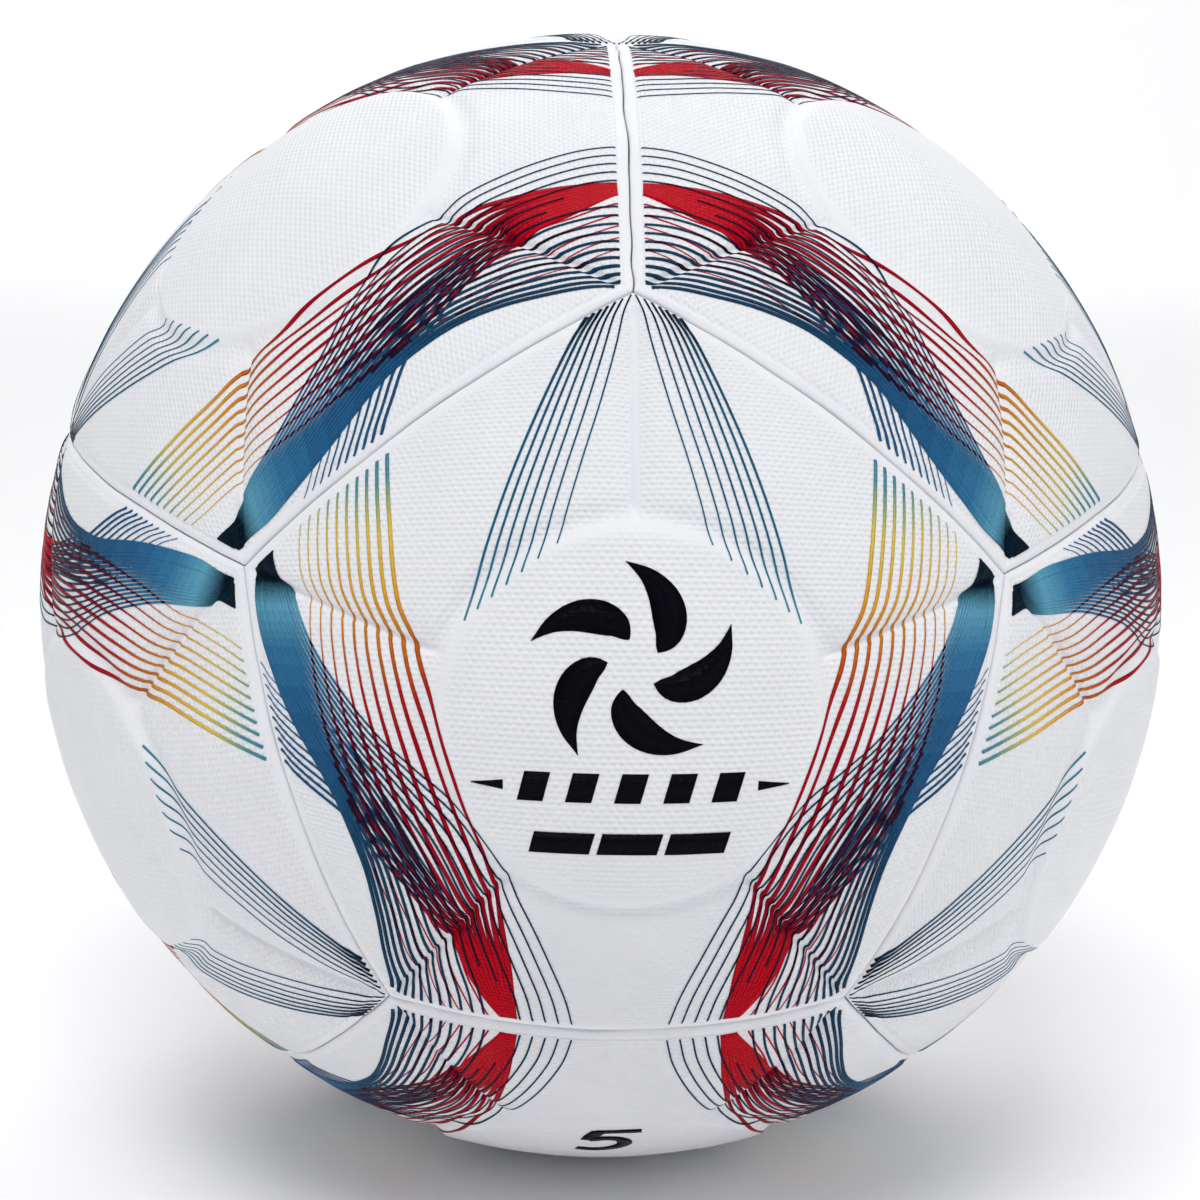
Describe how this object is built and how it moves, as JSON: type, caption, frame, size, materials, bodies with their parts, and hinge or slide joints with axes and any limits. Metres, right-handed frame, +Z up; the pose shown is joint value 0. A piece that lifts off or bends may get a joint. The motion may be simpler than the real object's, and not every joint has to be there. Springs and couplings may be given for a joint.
{
  "type": "soccer ball",
  "caption": "Inflated soccer ball: bonded pentagonal panels with a printed line pattern over foam, wound carcass, bladder and rubber valve.",
  "frame": {"origin": "centre of the ball, which is the centre of its bounding box", "axes": "+Z up, -Y out of the middle of the front panel, whose corner points up; +Y out along the valve; +X to the right when looking along +Y at the front panel"},
  "size_m": [0.2194, 0.2205, 0.2194],
  "materials": {
    "cover": "satin textured polyurethane skin",
    "foam": "matt closed-cell foam",
    "seal": "matt adhesive",
    "carcass": "wound yarn in latex",
    "bladder": "smooth butyl",
    "valve": "moulded rubber"
  },
  "bodies": {
    "root": {"panel_front": "cover", "panel_bottom_front": "cover", "panel_top_rear": "cover", "panel_rear": "cover", "panel_upper_right_front": "cover", "panel_upper_left_front": "cover", "panel_lower_right_rear": "cover", "panel_lower_left_rear": "cover", "panel_lower_right_front": "cover", "panel_upper_right_rear": "cover", "panel_lower_left_front": "cover", "panel_upper_left_rear": "cover", "foam_front": "foam", "foam_bottom_front": "foam", "foam_top_rear": "foam", "foam_rear": "foam", "foam_upper_right_front": "foam", "foam_upper_left_front": "foam", "foam_lower_right_rear": "foam", "foam_lower_left_rear": "foam", "foam_lower_right_front": "foam", "foam_upper_right_rear": "foam", "foam_lower_left_front": "foam", "foam_upper_left_rear": "foam", "seam_seal": "seal", "carcass": "carcass", "bladder": "bladder", "valve_housing": "valve", "valve_core": "valve"}
  },
  "joints": []
}
